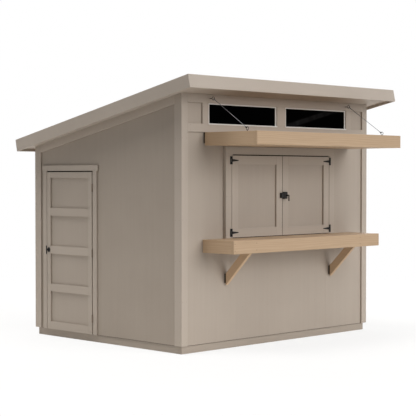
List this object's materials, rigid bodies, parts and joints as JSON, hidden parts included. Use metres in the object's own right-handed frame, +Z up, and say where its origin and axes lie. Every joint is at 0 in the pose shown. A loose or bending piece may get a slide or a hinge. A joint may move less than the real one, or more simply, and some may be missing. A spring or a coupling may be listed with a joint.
{
  "type": "bar shed",
  "caption": "Timber bar shed with a mono-pitch roof, a double-leaf serving hatch between a cable-stayed awning and a braced counter, a window row and a side door",
  "frame": {"origin": "centre of the base's underside, on the ground", "axes": "+X right along the serving front, +Y towards the back wall, +Z up; the front faces -Y"},
  "size_m": [3.442, 3.4054, 2.8993],
  "materials": {
    "painted_timber": "satin house paint over wood",
    "framing_pine": "planed, raw",
    "sheet_wood": "sanded sheet, raw",
    "oiled_pine": "planed pine under a clear oil",
    "roofing_sheet": "matt mineral-faced roofing",
    "window_paint": "satin off-white paint",
    "window_glass": "polished",
    "black_steel": "black powder coat",
    "zinc_steel": "galvanised"
  },
  "bodies": {
    "shed": {"base_skirt": "painted_timber", "floor_joists": "framing_pine", "floor_deck": "sheet_wood", "front_wall_frame": "framing_pine", "back_wall_frame": "framing_pine", "left_wall_frame": "framing_pine", "right_wall_frame": "framing_pine", "front_siding": "painted_timber", "back_siding": "painted_timber", "left_siding": "painted_timber", "right_siding": "painted_timber", "corner_boards": "painted_timber", "front_trim": "painted_timber", "frieze_boards": "painted_timber", "rafters": "framing_pine", "roof_deck": "sheet_wood", "soffits": "painted_timber", "fascias": "painted_timber", "roofing": "roofing_sheet", "window_frames": "window_paint", "window_glass": "window_glass", "door_casing": "painted_timber", "door_hinge_plates": "painted_timber", "hatch_casing": "painted_timber", "hatch_hinge_plates": "black_steel", "awning_frame": "oiled_pine", "awning_boards": "oiled_pine", "stand_off_blocks": "oiled_pine", "screw_eyes": "zinc_steel", "awning_cables": "zinc_steel", "counter_frame": "oiled_pine", "counter_top": "oiled_pine", "counter_braces": "oiled_pine"},
    "door": {"door_panel": "painted_timber", "door_frame": "painted_timber", "door_hinge_leaves": "painted_timber", "door_rose": "black_steel"},
    "door_handle_body": {"door_handle": "black_steel"},
    "hatch_left": {"hatch_left_panel": "painted_timber", "hatch_left_frame": "painted_timber", "hatch_left_hardware": "black_steel"},
    "hatch_right": {"hatch_right_panel": "painted_timber", "hatch_right_frame": "painted_timber", "hatch_right_hardware": "black_steel"},
    "latch_lever_body": {"latch_lever": "black_steel"}
  },
  "joints": [
    {"name": "door_swing", "type": "hinge", "parent": "shed", "child": "door", "pos_m": [-1.5629, 0.197, 0.9965], "axis": [0, 0, 1], "range_deg": [0, 165]},
    {"name": "door_handle_turn", "type": "hinge", "parent": "door", "child": "door_handle_body", "pos_m": [-1.5745, 0.983, 1.007], "axis": [1, 0, 0], "range_deg": [0, 90]},
    {"name": "hatch_left_swing", "type": "hinge", "parent": "shed", "child": "hatch_left", "pos_m": [-0.82, -1.2719, 1.64264], "axis": [0, 0, -1], "range_deg": [0, 165]},
    {"name": "hatch_right_swing", "type": "hinge", "parent": "shed", "child": "hatch_right", "pos_m": [0.82, -1.2719, 1.64264], "axis": [0, 0, 1], "range_deg": [0, 165]},
    {"name": "latch_turn", "type": "hinge", "parent": "hatch_right", "child": "latch_lever_body", "pos_m": [0.038, -1.298, 1.647], "axis": [0, -1, 0], "range_deg": [0, 90]}
  ]
}
